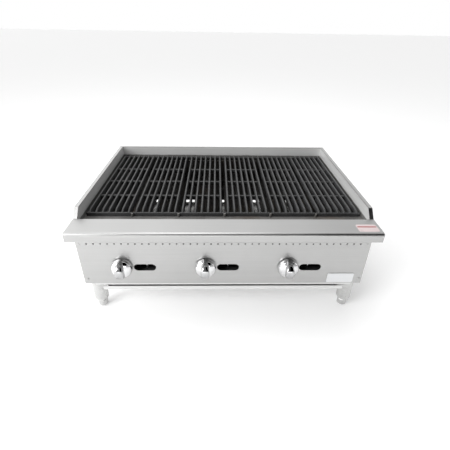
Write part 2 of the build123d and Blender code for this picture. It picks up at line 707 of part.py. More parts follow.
with BuildPart() as burner_rests:
    for y in REST_YS:
        plate(
            (-FIREBOX_HALF, FIREBOX_HALF), (y - LUG / 2, y + LUG / 2), (REST_TOP - REST_THICK, REST_TOP)
        )
burner_rests.part.label = "burner_rests"
export_step(burner_rests.part, "parts/burner_rests.step")

HOOD_RADIUS = 6.0
SHUTTER_THICK = 1.5
SHUTTER_MARGIN = 4.0
HOOD_CLEARANCE = 1.0
with BuildPart() as air_shutters:
    for x in KNOB_XS:
        for radius, mode in (
            (BURNER_TUBE_RADIUS + SHUTTER_MARGIN, Mode.ADD),
            (HOOD_RADIUS + HOOD_CLEARANCE, Mode.SUBTRACT),
        ):
            bar_along((x, VALVE_BACK, KNOB_Z), (0, -1, 0), radius, SHUTTER_THICK, mode)
air_shutters.part.label = "air_shutters"
export_step(air_shutters.part, "parts/air_shutters.step")

FITTING_CORNER = 14.0       # pipe ends short of the elbow's corner
MANIFOLD_LEFT = -FIREBOX_HALF
MANIFOLD_RIGHT = PIPE_X - FITTING_CORNER
MANIFOLD_TOP = MANIFOLD_Z + PIPE_RADIUS
VALVE_STUB_RADIUS = 8.0
VALVE_STUB_DEPTH = 5.0      # stub inside the manifold
PILOT_TUBE_RADIUS = 3.0
FIT_CLEARANCE = 0.05
with BuildPart() as gas_manifold:
    for radius, mode in ((PIPE_RADIUS, Mode.ADD), (PIPE_RADIUS - PIPE_WALL, Mode.SUBTRACT)):
        bar_along(
            (MANIFOLD_LEFT, MANIFOLD_Y, MANIFOLD_Z),
            (1, 0, 0),
            radius,
            MANIFOLD_RIGHT - MANIFOLD_LEFT,
            mode,
        )
    for xs, radius in ((KNOB_XS, VALVE_STUB_RADIUS), (PORT_XS, PILOT_TUBE_RADIUS)):
        for x in xs:
            bar_along(
                (x, MANIFOLD_Y, MANIFOLD_Z),
                (0, 0, 1),
                radius + FIT_CLEARANCE,
                2 * PIPE_RADIUS,
                Mode.SUBTRACT,
            )
gas_manifold.part.label = "gas_manifold"
export_step(gas_manifold.part, "parts/gas_manifold.step")

SUPPLY_FRONT = MANIFOLD_Y + FITTING_CORNER
SUPPLY_REAR = REAR + NIPPLE_OUT
with BuildPart() as supply_pipe:
    for radius, end, mode in (
        (PIPE_RADIUS, SUPPLY_REAR - THREAD_LENGTH, Mode.ADD),
        (THREAD_RADIUS, SUPPLY_REAR, Mode.ADD),
        (PIPE_RADIUS - PIPE_WALL, SUPPLY_REAR, Mode.SUBTRACT),
    ):
        bar_along((PIPE_X, SUPPLY_FRONT, MANIFOLD_Z), (0, 1, 0), radius, end - SUPPLY_FRONT, mode)
supply_pipe.part.label = "supply_pipe"
export_step(supply_pipe.part, "parts/supply_pipe.step")

FITTING_WALL = 3.6
FITTING_RADIUS = PIPE_RADIUS + FITTING_WALL
SOCKET_EASE = 0.5           # round sockets inside the square corner block, on the radius
SOCKET_REACH = 26.0
PASSAGE_SHARES = (0.9, 0.95)     # how the two bores meet in the corner, as shares of the pipe's bore
CAP_LENGTH = 18.0
CAP_END = 4.0
with BuildPart() as pipe_fittings:
    # Elbow between the manifold and the supply pipe: a square corner block with two round sockets.
    corner = Vector(PIPE_X, MANIFOLD_Y, MANIFOLD_Z)
    along, across = Vector(-1, 0, 0), Vector(0, 1, 0)
    with Locations(corner):
        Box(*[2 * FITTING_RADIUS] * 3)
    for axis in (along, across):
        bar_along(corner, axis, FITTING_RADIUS - SOCKET_EASE, SOCKET_REACH)
    for axis in (along, across):
        bar_along(
            corner + axis * FITTING_CORNER,
            axis,
            PIPE_RADIUS + FIT_CLEARANCE,
            SOCKET_REACH,
            Mode.SUBTRACT,
        )
    passage = PIPE_RADIUS - PIPE_WALL
    bar_along(corner - along * PASSAGE_SHARES[0] * passage, along, passage, SOCKET_REACH, Mode.SUBTRACT)
    bar_along(corner, across, PASSAGE_SHARES[1] * passage, SOCKET_REACH, Mode.SUBTRACT)
    # Cap on the manifold's closed end.
    bar_along(
        (MANIFOLD_LEFT - CAP_END, MANIFOLD_Y, MANIFOLD_Z), (1, 0, 0), FITTING_RADIUS, CAP_LENGTH
    )
    bar_along(
        (MANIFOLD_LEFT, MANIFOLD_Y, MANIFOLD_Z),
        (1, 0, 0),
        PIPE_RADIUS + FIT_CLEARANCE,
        CAP_LENGTH,
        Mode.SUBTRACT,
    )
pipe_fittings.part.label = "pipe_fittings"
export_step(pipe_fittings.part, "parts/pipe_fittings.step")

VALVE_HALF = 12.0
VALVE_SETBACK = 10.0
VALVE_LENGTH = 28.0
VALVE_FRONT = PANEL_BACK + VALVE_SETBACK
VALVE_REAR = VALVE_FRONT + VALVE_LENGTH
STEM_DEPTH = 10.0           # stem inside the valve body
STEM_BACK = VALVE_FRONT + STEM_DEPTH
GLAND_RADIUS = 9.0
GLAND_LENGTH = 6.0
HOOD_REACH = 3.0            # orifice hood inside the burner's mouth
ORIFICE_RADIUS = 1.2
VALVE_BORE = 40.0
for index, x in enumerate(KNOB_XS, start=1):
    with BuildPart() as gas_valve:
        plate(
            (x - VALVE_HALF, x + VALVE_HALF),
            (VALVE_FRONT, VALVE_REAR),
            (KNOB_Z - VALVE_HALF, KNOB_Z + VALVE_HALF),
        )
        bar_along((x, VALVE_FRONT, KNOB_Z), (0, -1, 0), GLAND_RADIUS, GLAND_LENGTH)
        bar_along(
            (x, MANIFOLD_Y, KNOB_Z),
            (0, 0, -1),
            VALVE_STUB_RADIUS,
            KNOB_Z - MANIFOLD_TOP + VALVE_STUB_DEPTH,
        )
        # Orifice hood that reaches into the mouth of the burner.
        bar_along(
            (x, VALVE_REAR, KNOB_Z), (0, 1, 0), HOOD_RADIUS, VALVE_BACK - VALVE_REAR + HOOD_REACH
        )
        bar_along((x, VALVE_REAR, KNOB_Z), (0, 1, 0), ORIFICE_RADIUS, VALVE_BORE, Mode.SUBTRACT)
        bar_along(
            (x, STEM_BACK, KNOB_Z),
            (0, -1, 0),
            STEM_RADIUS + STEM_CLEARANCE,
            VALVE_BORE,
            Mode.SUBTRACT,
        )
    name = f"gas_valve_{index}"
    gas_valve.part.label = name
    export_step(gas_valve.part, f"parts/{name}.step")

PILOT_SETBACK = 13.0
PILOT_TUBE_DROP = 6.0
PILOT_RISE = 5.0
PILOT_HEIGHT = 14.0
PILOT_BEND = 8.0
BRACKET_HALF = 6.0
BRACKET_THICK = 2.0
BRACKET_RISE = 1.0
PILOT_Y = FIREBOX_FRONT + PILOT_SETBACK
PILOT_TUBE_Z = PORT_Z - PILOT_TUBE_DROP
PILOT_BOTTOM = PORT_Z + PILOT_RISE
PILOT_RADIUS = 5.0
PILOT_SOCKET = 6.0
BRACKET_Z = PORT_Z + PORT_HEIGHT / 2 + BRACKET_RISE
with BuildPart() as pilot_tubes:
    for x in PORT_XS:
        with BuildLine() as run:
            FilletPolyline(
                (x, MANIFOLD_Y, MANIFOLD_TOP - VALVE_STUB_DEPTH),
                (x, MANIFOLD_Y, PILOT_TUBE_Z),
                (x, PILOT_Y, PILOT_TUBE_Z),
                (x, PILOT_Y, PILOT_BOTTOM + PILOT_SOCKET),
                radius=PILOT_BEND,
            )
        with BuildSketch(Plane(origin=run.line @ 0, z_dir=run.line % 0)) as tube_section:
            Circle(PILOT_TUBE_RADIUS)
        sweep(tube_section.sketch, path=run.line)
pilot_tubes.part.label = "pilot_tubes"
export_step(pilot_tubes.part, "parts/pilot_tubes.step")

with BuildPart() as pilot_burners:
    for x in PORT_XS:
        bar_along((x, PILOT_Y, PILOT_BOTTOM), (0, 0, 1), PILOT_RADIUS, PILOT_HEIGHT)
        plate(
            (x - BRACKET_HALF, x + BRACKET_HALF),
            (RADIANT_FRONT, PILOT_Y),
            (BRACKET_Z, BRACKET_Z + BRACKET_THICK),
        )
        bar_along(
            (x, PILOT_Y, PILOT_BOTTOM),
            (0, 0, 1),
            PILOT_TUBE_RADIUS + FIT_CLEARANCE,
            PILOT_SOCKET,
            Mode.SUBTRACT,
        )
pilot_burners.part.label = "pilot_burners"
export_step(pilot_burners.part, "parts/pilot_burners.step")

# ---------------------------------------------------------------- legs and feet
LEG_TAPER = 3.0
LEG_CAP = 4.0
FOOT_EDGE = 2.0
FOOT_SHOULDER = 0.7         # share of the foot's height below its tapered top
FOOT_TAPER = 4.0
for spot, (x, y) in LEG_SPOTS.items():
    leg_plane = Plane(origin=(x, y, 0), x_dir=(1, 0, 0), z_dir=(0, -1, 0))
    leg_axis = Axis((x, y, 0), (0, 0, 1))
    with BuildPart() as leg:
        # Tube with a bored plug at the bottom and a stud on its top plate.
        with BuildSketch(leg_plane):
            with BuildLine():
                Polyline(
                    (FOOT_STUD_RADIUS + FOOT_CLEARANCE, FOOT_HEIGHT),
                    (LEG_RADIUS - LEG_TAPER, FOOT_HEIGHT),
                    (LEG_RADIUS, FOOT_HEIGHT + 2 * LEG_TAPER),
                    (LEG_RADIUS, BODY_BOTTOM),
                    (LEG_STUD_RADIUS, BODY_BOTTOM),
                    (LEG_STUD_RADIUS, BODY_BOTTOM + LEG_STUD_LENGTH),
                    (0, BODY_BOTTOM + LEG_STUD_LENGTH),
                    (0, BODY_BOTTOM - LEG_CAP),
                    (LEG_RADIUS - LEG_WALL, BODY_BOTTOM - LEG_CAP),
                    (LEG_RADIUS - LEG_WALL, FOOT_HEIGHT + LEG_PLUG),
                    (FOOT_STUD_RADIUS + FOOT_CLEARANCE, FOOT_HEIGHT + LEG_PLUG),
                    close=True,
                )
            make_face()
        revolve(axis=leg_axis)
    name = f"leg_{spot}"
    leg.part.label = name
    export_step(leg.part, f"parts/{name}.step")

    with BuildPart() as foot:
        with BuildSketch(leg_plane):
            with BuildLine():
                Polyline(
                    (0, 0),
                    (FOOT_RADIUS - FOOT_EDGE, 0),
                    (FOOT_RADIUS, FOOT_EDGE),
                    (FOOT_RADIUS, FOOT_SHOULDER * FOOT_HEIGHT),
                    (FOOT_RADIUS - FOOT_TAPER, FOOT_HEIGHT),
                    (FOOT_STUD_RADIUS, FOOT_HEIGHT),
                    (FOOT_STUD_RADIUS, FOOT_HEIGHT + FOOT_STUD_LENGTH),
                    (0, FOOT_HEIGHT + FOOT_STUD_LENGTH),
                    close=True,
                )
            make_face()
        revolve(axis=leg_axis)
    name = f"foot_{spot}"
    foot.part.label = name
    export_step(foot.part, f"parts/{name}.step")

# ---------------------------------------------------------------- drip tray and its runners
with BuildPart() as drip_tray:
    plate((-TRAY_HALF, TRAY_HALF), (TRAY_FRONT, TRAY_REAR), (TRAY_BOTTOM, TRAY_RIM))
    plate(
        (-TRAY_HALF + TRAY_SHEET, TRAY_HALF - TRAY_SHEET),
        (TRAY_FRONT + TRAY_SHEET, TRAY_REAR - TRAY_SHEET),
        (TRAY_BOTTOM + TRAY_SHEET, TRAY_RIM),
        Mode.SUBTRACT,
    )
    # The front stands lower than the sides and runs out past them as a pull flange.
    plate(
        (-TRAY_HALF, TRAY_HALF),
        (TRAY_FRONT, TRAY_FRONT + TRAY_SHEET),
        (TRAY_BOTTOM + TRAY_FRONT_HEIGHT, TRAY_RIM),
        Mode.SUBTRACT,
    )
    plate(
        (-TRAY_FRONT_HALF, TRAY_FRONT_HALF),
        (TRAY_FRONT, TRAY_FRONT + TRAY_SHEET),
        (TRAY_BOTTOM, TRAY_BOTTOM + TRAY_FRONT_HEIGHT),
    )
    for sign in (-1, 1):
        plate(
            (sign * TRAY_HALF, sign * TRAY_LIP_HALF),
            (RUNNER_FRONT, TRAY_REAR),
            (TRAY_RIM - TRAY_SHEET, TRAY_RIM),
        )
drip_tray.part.label = "drip_tray"
export_step(drip_tray.part, "parts/drip_tray.step")

RUNNER_SEAT = TRAY_RIM - TRAY_SHEET
with BuildPart() as tray_runners:
    for sign in (-1, 1):
        web = (sign * RUNNER_INSIDE, sign * RUNNER_OUTSIDE)
        plate(web, (RUNNER_FRONT, RUNNER_REAR), (RUNNER_SEAT - SHEET, BODY_BOTTOM))
        for level in (RUNNER_SEAT - SHEET, BODY_BOTTOM - SHEET):
            plate(
                (sign * (TRAY_HALF + RUNNER_SIDE_GAP), sign * RUNNER_OUTSIDE),
                (RUNNER_FRONT, RUNNER_REAR),
                (level, level + SHEET),
            )
tray_runners.part.label = "tray_runners"
export_step(tray_runners.part, "parts/tray_runners.step")

# ---------------------------------------------------------------- cooking grates
BAR_SPACE = GRATE_WIDTH - BAR_BASE
BAR_COUNT = int(BAR_SPACE / BAR_PITCH) + 1
BAR_SPAN = (BAR_COUNT - 1) * BAR_PITCH
BAR_END_INSET = 1.0
END_BAR = 8.0
EAR_RADIUS = 3.9
NOSE_TOP = GRATE_TOP - BAR_NOSE_DROP
RIB_COUNT = int((GRATE_REAR - GRATE_FRONT - BAR_PITCH) / RIB_PITCH)
for index in range(GRATE_COUNT):
    centre = (index - (GRATE_COUNT - 1) / 2) * GRATE_PITCH
    with BuildPart() as cooking_grate:
        # Tapered bars, narrow on top, from the front bar to the rear bar.
        for number in range(BAR_COUNT):
            x = centre + number * BAR_PITCH - BAR_SPAN / 2
            extrude(
                outline(
                    Plane.XZ.offset(-GRATE_FRONT - BAR_END_INSET),
                    [
                        (x - BAR_BASE / 2, GRATE_SEAT),
                        (x - BAR_TOP / 2, GRATE_TOP),
                        (x + BAR_TOP / 2, GRATE_TOP),
                        (x + BAR_BASE / 2, GRATE_SEAT),
                    ],
                ),
                amount=-(GRATE_REAR - GRATE_FRONT - 2 * BAR_END_INSET),
            )
        # Sloping noses at the front.
        extrude(
            outline(
                Plane.YZ.offset(centre - GRATE_WIDTH / 2),
                [
                    (GRATE_FRONT, NOSE_TOP),
                    (GRATE_FRONT, GRATE_TOP + 1),
                    (GRATE_FRONT + BAR_NOSE_RUN, GRATE_TOP + 1),
                    (GRATE_FRONT + BAR_NOSE_RUN, GRATE_TOP),
                ],
            ),
            amount=GRATE_WIDTH,
            mode=Mode.SUBTRACT,
        )
        # End bars with rounded ears.
        for y, top in (
            (GRATE_FRONT + END_BAR / 2, NOSE_TOP),
            (GRATE_REAR - END_BAR / 2, GRATE_TOP - RIB_DROP),
        ):
            with BuildSketch(Plane.XY.offset(GRATE_SEAT)):
                with Locations((centre, y)):
                    RectangleRounded(GRATE_WIDTH, END_BAR, EAR_RADIUS)
            extrude(amount=top - GRATE_SEAT)
        # Cross ribs.
        for number in range(1, RIB_COUNT + 1):
            y = GRATE_FRONT + END_BAR / 2 + number * RIB_PITCH
            plate(
                (centre - BAR_SPAN / 2, centre + BAR_SPAN / 2),
                (y - RIB_THICK / 2, y + RIB_THICK / 2),
                (GRATE_SEAT, GRATE_TOP - RIB_DROP),
            )
    name = f"cooking_grate_{index + 1}"
    cooking_grate.part.label = name
    export_step(cooking_grate.part, f"parts/{name}.step")

# ---------------------------------------------------------------- knobs, stems and bezels
KNOB_BACK = PANEL_FACE - KNOB_STANDOFF
STEM_SOCKET = 18.0
SKIRT_EDGE = 1.0
DOME_ARC = (0.74, 0.72)     # middle of the dome's profile, as shares of its radius and height
GRIP_SINK = 3.0
GRIP_EDGE_RADIUS = 5.0
STEM_FRONT = KNOB_BACK - STEM_SOCKET
for index, x in enumerate(KNOB_XS, start=1):
    knob_plane = Plane(origin=(x, KNOB_BACK, KNOB_Z), x_dir=(1, 0, 0), z_dir=(0, -1, 0))
    with BuildPart() as knob:
        # Domed skirt, turned about the stem's axis.
        with BuildSketch(Plane(origin=(x, KNOB_BACK, KNOB_Z), x_dir=(1, 0, 0), z_dir=(0, 0, 1))):
            with BuildLine():
                Polyline(
                    (0, -KNOB_DOME_DEPTH),
                    (0, 0),
                    (KNOB_SKIRT_RADIUS - SKIRT_EDGE, 0),
                    (KNOB_SKIRT_RADIUS, -SKIRT_EDGE),
                    (KNOB_SKIRT_RADIUS, -KNOB_SKIRT_DEPTH),
                )
                ThreePointArc(
                    (KNOB_SKIRT_RADIUS, -KNOB_SKIRT_DEPTH),
                    (
                        DOME_ARC[0] * KNOB_SKIRT_RADIUS,
                        -KNOB_SKIRT_DEPTH - DOME_ARC[1] * (KNOB_DOME_DEPTH - KNOB_SKIRT_DEPTH),
                    ),
                    (0, -KNOB_DOME_DEPTH),
                )
            make_face()
        revolve(axis=Axis((x, KNOB_BACK, KNOB_Z), (0, 1, 0)))
        # Upright grip with rounded ends.
        with BuildSketch(knob_plane.offset(KNOB_SKIRT_DEPTH - GRIP_SINK)):
            SlotOverall(KNOB_GRIP_LENGTH, KNOB_GRIP_WIDTH, rotation=90)
        extrude(amount=KNOB_DEPTH - KNOB_SKIRT_DEPTH + GRIP_SINK)
        fillet(knob.faces().sort_by(Axis.Y)[0].edges(), GRIP_EDGE_RADIUS)
        with BuildSketch(knob_plane):
            Circle(STEM_RADIUS + STEM_CLEARANCE)
        extrude(amount=STEM_SOCKET, mode=Mode.SUBTRACT)
    name = f"knob_{index}"
    knob.part.label = name
    export_step(knob.part, f"parts/{name}.step")

    with BuildPart() as valve_stem:
        bar_along((x, STEM_BACK, KNOB_Z), (0, -1, 0), STEM_RADIUS, STEM_BACK - STEM_FRONT)
    name = f"valve_stem_{index}"
    valve_stem.part.label = name
    export_step(valve_stem.part, f"parts/{name}.step")

with BuildPart() as knob_bezels:
    with BuildSketch(Plane.XZ.offset(-PANEL_FACE)):
        with Locations([(x, KNOB_Z) for x in KNOB_XS]):
            Circle(BEZEL_RADIUS)
            Circle(STEM_HOLE_RADIUS, mode=Mode.SUBTRACT)
    extrude(amount=BEZEL_THICK)
knob_bezels.part.label = "knob_bezels"
export_step(knob_bezels.part, "parts/knob_bezels.step")
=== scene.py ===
"""Looks of a countertop gas charbroiler: its finishes and the pieces finer than CAD.

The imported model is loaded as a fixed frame. Cast grates, chrome knobs, louvre hoods and the small
trim are surfaces worked out on numpy grids and ride on the frame's bodies. Lengths are in metres.
"""
import logging
import math
from dataclasses import dataclass, field, replace
from enum import Enum
from typing import Any, Callable

import bpy
import numpy as np
from mathutils import Matrix, Vector


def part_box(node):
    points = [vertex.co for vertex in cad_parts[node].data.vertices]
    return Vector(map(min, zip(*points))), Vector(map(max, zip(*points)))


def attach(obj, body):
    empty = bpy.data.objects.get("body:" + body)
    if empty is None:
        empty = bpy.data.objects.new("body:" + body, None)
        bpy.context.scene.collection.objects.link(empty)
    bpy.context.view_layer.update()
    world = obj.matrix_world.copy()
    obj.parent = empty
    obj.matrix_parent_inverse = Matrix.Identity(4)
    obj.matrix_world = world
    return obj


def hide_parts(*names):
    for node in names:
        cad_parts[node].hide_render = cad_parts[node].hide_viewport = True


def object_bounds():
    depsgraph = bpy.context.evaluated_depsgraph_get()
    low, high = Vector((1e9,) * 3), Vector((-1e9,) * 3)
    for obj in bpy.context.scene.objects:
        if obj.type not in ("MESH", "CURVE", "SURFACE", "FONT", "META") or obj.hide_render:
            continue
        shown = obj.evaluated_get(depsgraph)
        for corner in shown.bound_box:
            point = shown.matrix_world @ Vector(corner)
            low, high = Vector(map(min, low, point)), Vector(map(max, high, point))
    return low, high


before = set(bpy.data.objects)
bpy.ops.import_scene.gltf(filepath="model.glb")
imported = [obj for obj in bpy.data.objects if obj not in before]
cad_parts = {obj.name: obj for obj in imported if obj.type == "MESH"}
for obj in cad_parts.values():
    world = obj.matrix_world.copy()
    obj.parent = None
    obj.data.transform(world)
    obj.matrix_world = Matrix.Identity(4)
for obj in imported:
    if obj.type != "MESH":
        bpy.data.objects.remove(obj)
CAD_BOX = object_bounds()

log = logging.getLogger("charbroiler")
MM = 0.001
BODY = "body"
Points = np.ndarray


# ------------------------------------------------------------------ shader tools
class Value:
    """A number socket that takes part in Python arithmetic by adding Math nodes."""

    def __init__(self, graph: "Graph", socket: bpy.types.NodeSocket) -> None:
        """Keep the socket and the graph that it belongs to."""
        self.graph = graph
        self.socket = socket

    def _math(self, operation: str, first: Any, second: Any) -> "Value":
        """Add one Math node.

        Args:
            operation: the node's operation.
            first: its first number or Value.
            second: its second number or Value.

        Returns:
            The node's result.
        """
        made = self.graph.node("ShaderNodeMath", {"operation": operation}, {0: first, 1: second})
        return Value(self.graph, made.outputs[0])

    def __add__(self, other: Any) -> "Value":
        """Return self + other."""
        return self._math("ADD", self, other)

    def __sub__(self, other: Any) -> "Value":
        """Return self - other."""
        return self._math("SUBTRACT", self, other)

    def __rsub__(self, other: Any) -> "Value":
        """Return other - self."""
        return self._math("SUBTRACT", other, self)

    def __mul__(self, other: Any) -> "Value":
        """Return self * other."""
        return self._math("MULTIPLY", self, other)

    def band(self, low: float, high: float) -> "Value":
        """Return 0 below low, 1 above high, and a smooth rise between them."""
        made = self.graph.node(
            "ShaderNodeMapRange",
            {"interpolation_type": "SMOOTHSTEP"},
            {"Value": self, "From Min": low, "From Max": high},
        )
        return Value(self.graph, made.outputs["Result"])


class Graph:
    """A node tree and the only method that adds nodes to it."""

    def __init__(self, holder: bpy.types.Material | bpy.types.World) -> None:
        """Empty the holder's node tree."""
        holder.use_nodes = True
        self.tree = holder.node_tree
        self.tree.nodes.clear()

    def node(
        self,
        kind: str,
        settings: dict[str, Any] | None = None,
        inputs: dict[Any, Any] | None = None,
    ) -> bpy.types.Node:
        """Add a node.

        Args:
            kind: the node's type.
            settings: its own settings, set first.
            inputs: numbers, colours or links for its sockets.

        Returns:
            The new node.
        """
        made = self.tree.nodes.new(kind)
        for key, value in (settings or {}).items():
            setattr(made, key, value)
        for key, value in (inputs or {}).items():
            socket = made.inputs[key]
            if isinstance(value, Value):
                self.tree.links.new(value.socket, socket)
            elif isinstance(value, bpy.types.NodeSocket):
                self.tree.links.new(value, socket)
            else:
                socket.default_value = value
        return made


class Recipe(Graph):
    """One material: a Principled surface and the patterns that feed it."""

    def __init__(self, name: str) -> None:
        """Start a material with a bare Principled surface."""
        self.material = bpy.data.materials.new(name)
        super().__init__(self.material)
        self.surface = self.node("ShaderNodeBsdfPrincipled")
        self.node("ShaderNodeOutputMaterial", None, {"Surface": self.surface.outputs[0]})
        self.coordinates = self.node("ShaderNodeTexCoord").outputs["Object"]

    def noise(self, scale: tuple[float, float, float], detail: float = 3.0) -> Value:
        """Return fractal noise with its own frequency, per metre, along each axis."""
        place = self.node(
            "ShaderNodeMapping",
            {"vector_type": "POINT"},
            {"Vector": self.coordinates, "Scale": scale},
        )
        made = self.node(
            "ShaderNodeTexNoise",
            {"noise_dimensions": "3D"},
            {"Vector": place.outputs[0], "Scale": 1.0, "Detail": detail, "Roughness": 0.55},
        )
        return Value(self, made.outputs["Fac"])

    def axis(self, index: int) -> Value:
        """Return the Object coordinate along X, Y or Z, in metres."""
        made = self.node("ShaderNodeSeparateXYZ", None, {0: self.coordinates})
        return Value(self, made.outputs[index])

    def blend(
        self, mask: Value, low: tuple[float, ...], high: tuple[float, ...]
    ) -> bpy.types.NodeSocket:
        """Return a colour that goes from low to high as mask goes from 0 to 1."""
        made = self.node(
            "ShaderNodeMix", {"data_type": "RGBA"}, {0: mask, 6: (*low, 1.0), 7: (*high, 1.0)}
        )
        return made.outputs[2]

    def layer(
        self, mask: Value, under: bpy.types.NodeSocket, over: tuple[float, ...]
    ) -> bpy.types.NodeSocket:
        """Return the colour under, covered by the colour over where mask is 1."""
        made = self.node(
            "ShaderNodeMix", {"data_type": "RGBA"}, {0: mask, 6: under, 7: (*over, 1.0)}
        )
        return made.outputs[2]

    def set(self, **sockets: Any) -> None:
        """Fill the surface's sockets; an underscore in a name stands for a space."""
        for key, value in sockets.items():
            socket = self.surface.inputs[key.replace("_", " ")]
            if isinstance(value, Value):
                self.tree.links.new(value.socket, socket)
            elif isinstance(value, bpy.types.NodeSocket):
                self.tree.links.new(value, socket)
            else:
                socket.default_value = value

    def bump(self, height: Value, distance: float, strength: float) -> None:
        """Feed a height pattern into the surface's normal, with its depth in metres."""
        made = self.node(
            "ShaderNodeBump", None, {"Height": height, "Distance": distance, "Strength": strength}
        )
        self.set(Normal=made.outputs[0])


# ------------------------------------------------------------------ finishes
class Grain(Enum):
    """Direction of the brushing on sheet metal."""

    ALONG_WIDTH = (5.0, 1400.0, 1400.0)
    ALONG_DEPTH = (1400.0, 5.0, 1400.0)


Colour = tuple[float, float, float]


@dataclass(frozen=True)
class BrushedSheet:
    """Stainless sheet: fine brushing, cloudy wipe marks and, where asked, a colour that darkens to
    near black below a given height.
    """

    grain: Grain = Grain.ALONG_WIDTH
    dark: Colour = (0.38, 0.38, 0.377)
    light: Colour = (0.50, 0.50, 0.496)
    roughness: float = 0.28
    metallic: float = 1.0
    brushing: float = 0.10
    dark_below: float = 0.0
    dark_fade: float = 0.02

    def make(self, name: str) -> bpy.types.Material:
        """Return the finished material."""
        recipe = Recipe(name)
        streak = recipe.noise(self.grain.value, 2.0)
        wide_streak = recipe.noise(tuple(value / 12 + 1.5 for value in self.grain.value), 2.0)
        cloud = recipe.noise((3.2, 3.2, 3.2), 4.0).band(0.3, 0.75)
        grain = streak * 0.55 + wide_streak * 0.25 + cloud * 0.2
        colour = recipe.blend(grain, self.dark, self.light)
        rough = streak * self.brushing + cloud * 0.07 + self.roughness
        # Below the given height the colour is mixed towards near black with a noisy edge, and the
        # surface gets rougher.
        if self.dark_below > 0:
            height = recipe.axis(2)
            patches = recipe.noise((26.0, 26.0, 40.0), 4.0)
            edge = height + (patches - 0.5) * self.dark_fade
            darkening = 1 - edge.band(self.dark_below - self.dark_fade, self.dark_below)
            colour = recipe.layer(darkening * 0.82, colour, (0.045, 0.042, 0.040))
            rough = rough + darkening * 0.3
        recipe.set(Base_Color=colour, Metallic=self.metallic, Roughness=rough)
        recipe.bump(streak, 0.00004, 0.35)
        return recipe.material


@dataclass(frozen=True)
class HeatedSteel:
    """Mill-finish steel inside the firebox: oxide patches, straw and blue heat tint, dull soot."""

    clean: Colour = (0.20, 0.195, 0.19)
    oxide: Colour = (0.055, 0.050, 0.047)
    tint: Colour = (0.13, 0.095, 0.07)
    roughness: float = 0.5

    def make(self, name: str) -> bpy.types.Material:
        """Return the finished material."""
        recipe = Recipe(name)
        patches = recipe.noise((14.0, 14.0, 14.0), 6.0).band(0.35, 0.7)
        speck = recipe.noise((420.0, 420.0, 420.0), 2.0)
        tinted = recipe.noise((6.0, 6.0, 9.0), 3.0).band(0.5, 0.7)
        colour = recipe.blend(patches, self.oxide, self.clean)
        colour = recipe.layer(tinted * 0.5, colour, self.tint)
        recipe.set(
            Base_Color=colour,
            Metallic=patches * 0.4 + 0.5,
            Roughness=speck * 0.2 + (1 - patches) * 0.2 + self.roughness - 0.1,
        )
        recipe.bump(speck, 0.0001, 0.4)
        return recipe.material


@dataclass(frozen=True)
class CastIron:
    """Sand-cast iron seasoned black; above a given height it turns brighter, wear on the faces that
    carry food together with a painted highlight on the bar tops.
    """

    deep: Colour = (0.026, 0.026, 0.0265)
    seasoned: Colour = (0.058, 0.058, 0.059)
    # Bar-top colour: partly wear, partly a painted highlight where light catches the tops.
    wear_and_highlight: Colour = (0.050, 0.050, 0.051)
    wear_and_highlight_above: float = 0.0
    wear_and_highlight_rise: float = 0.002

    def make(self, name: str) -> bpy.types.Material:
        """Return the finished material."""
        recipe = Recipe(name)
        grit = recipe.noise((650.0, 650.0, 650.0), 3.0)
        pits = recipe.noise((210.0, 210.0, 210.0), 4.0)
        crust = recipe.noise((22.0, 22.0, 22.0), 5.0).band(0.35, 0.7)
        colour = recipe.blend(crust * 0.7 + grit * 0.3, self.deep, self.seasoned)
        rough = crust * 0.16 + grit * 0.18 + 0.36
        # Above the given height the colour is layered brighter and broken up by pits: a painted
        # highlight on the bar tops, with some real wear.
        if self.wear_and_highlight_above > 0:
            top = recipe.axis(2).band(self.wear_and_highlight_above, self.wear_and_highlight_above + self.wear_and_highlight_rise)
            wear_and_highlight_mask = top * (pits.band(0.3, 0.62) * 0.6 + 0.4)
            colour = recipe.layer(wear_and_highlight_mask, colour, self.wear_and_highlight)
            rough = rough - wear_and_highlight_mask * 0.12
        recipe.set(Base_Color=colour, Metallic=0.3, Roughness=rough + 0.06)
        recipe.bump(grit * 0.5 + pits * 0.5, 0.00035, 0.55)
        return recipe.material


@dataclass(frozen=True)
class Chrome:
    """Polished chrome plate with faint handling haze."""

    bright: Colour = (0.70, 0.70, 0.705)
    hazed: Colour = (0.58, 0.58, 0.585)
    roughness: float = 0.045

    def make(self, name: str) -> bpy.types.Material:
        """Return the finished material."""
        recipe = Recipe(name)
        haze = recipe.noise((55.0, 55.0, 55.0), 4.0).band(0.45, 0.8)
        recipe.set(
            Base_Color=recipe.blend(haze, self.bright, self.hazed),
            Metallic=1.0,
            Roughness=haze * 0.07 + self.roughness,
        )
        return recipe.material


@dataclass(frozen=True)
class TurnedMetal:
    """Plain machined, plated or drawn metal with fine turning lines and a mottled tone."""

    dark: Colour = (0.40, 0.40, 0.395)
    light: Colour = (0.62, 0.62, 0.615)
    metallic: float = 1.0
    roughness: float = 0.28
    line_pitch: float = 900.0

    def make(self, name: str) -> bpy.types.Material:
        """Return the finished material."""
        recipe = Recipe(name)
        lines = recipe.noise((30.0, 30.0, self.line_pitch), 2.0)
        mottle = recipe.noise((38.0, 38.0, 38.0), 4.0)
        recipe.set(
            Base_Color=recipe.blend(lines * 0.4 + mottle * 0.6, self.dark, self.light),
            Metallic=self.metallic,
            Roughness=lines * 0.12 + mottle * 0.12 + self.roughness,
        )
        recipe.bump(lines, 0.00005, 0.35)
        return recipe.material


